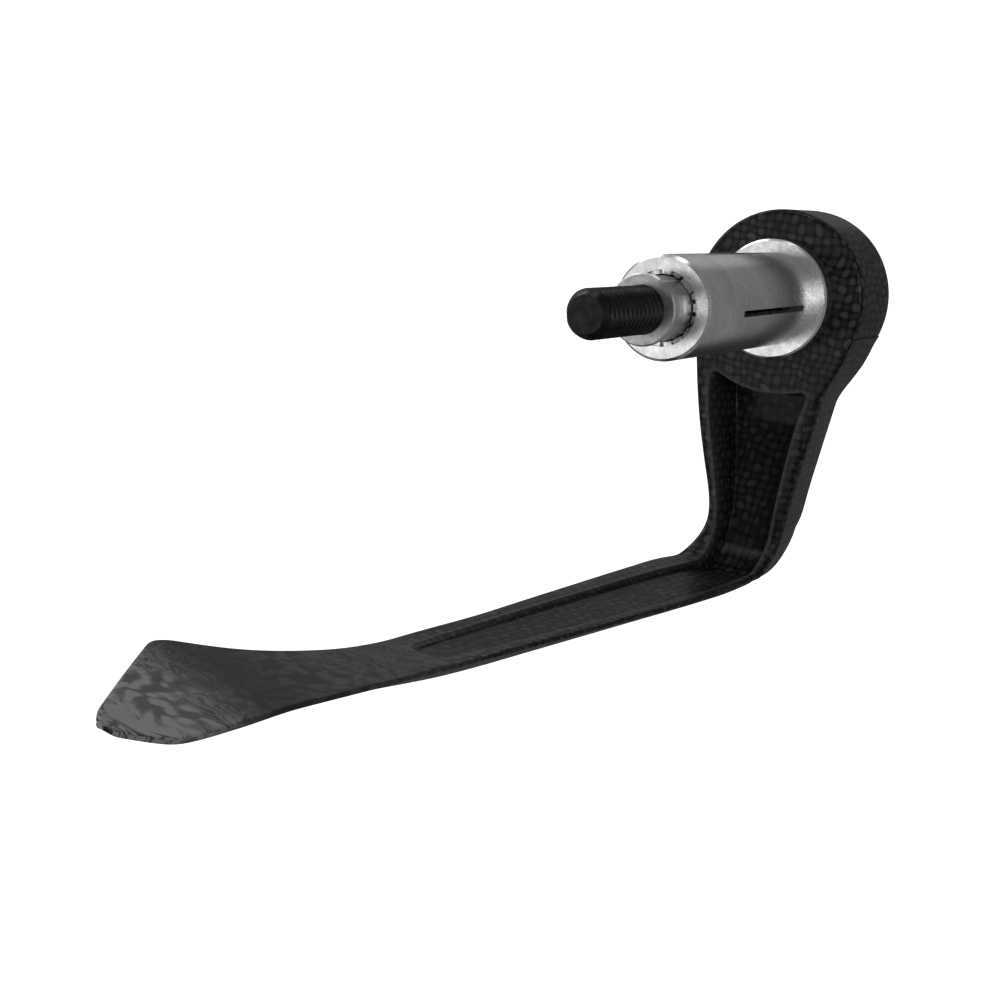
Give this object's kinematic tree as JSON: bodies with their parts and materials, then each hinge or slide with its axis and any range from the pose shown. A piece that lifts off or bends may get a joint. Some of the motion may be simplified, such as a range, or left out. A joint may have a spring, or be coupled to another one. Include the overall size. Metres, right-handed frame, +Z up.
{
  "type": "brake lever guard",
  "caption": "Handlebar-end lever guard: a curved carbon arm with a flat blade on an expanding aluminium bar plug with a wedge cone.",
  "frame": {"origin": "plug axis at the sleeve flange's inboard face, where it stops on the bar end", "axes": "-Y along the plug axis into the bar, +Z up, away from the arm; the arm hangs in the plane X = 0"},
  "size_m": [0.0284, 0.1608, 0.0618],
  "materials": {
    "carbon": "clear-coated woven carbon",
    "insert_aluminium": "turned",
    "sleeve_aluminium": "satin, lightly scratched",
    "spring_steel": "bright",
    "cone_aluminium": "pale satin",
    "black_oxide_steel": "black oxide",
    "zinc_steel": "zinc plated"
  },
  "bodies": {
    "plug": {"plug_sleeve": "sleeve_aluminium", "split_ring": "spring_steel", "cone_key": "spring_steel"},
    "arm": {"guard_arm": "carbon", "eye_insert": "insert_aluminium"},
    "screw": {"clamp_screw": "black_oxide_steel", "head_washer": "zinc_steel"},
    "cone": {"wedge_cone": "cone_aluminium"}
  },
  "joints": [
    {"name": "arm_swivel", "type": "hinge", "parent": "plug", "child": "arm", "pos_m": [0, 0.005, 0], "axis": [0, 1, 0], "continuous": true},
    {"name": "screw_turn", "type": "hinge", "parent": "plug", "child": "screw", "pos_m": [0, 0, 0], "axis": [0, -1, 0], "range_deg": [-1440, 720]},
    {"name": "cone_draw", "type": "slide", "parent": "plug", "child": "cone", "axis": [0, 1, 0], "range_m": [-0.005, 0.0025]}
  ],
  "couplings": [
    {"joint": "cone_draw", "follows": "screw_turn", "m_per_rad": 0.00019894}
  ]
}
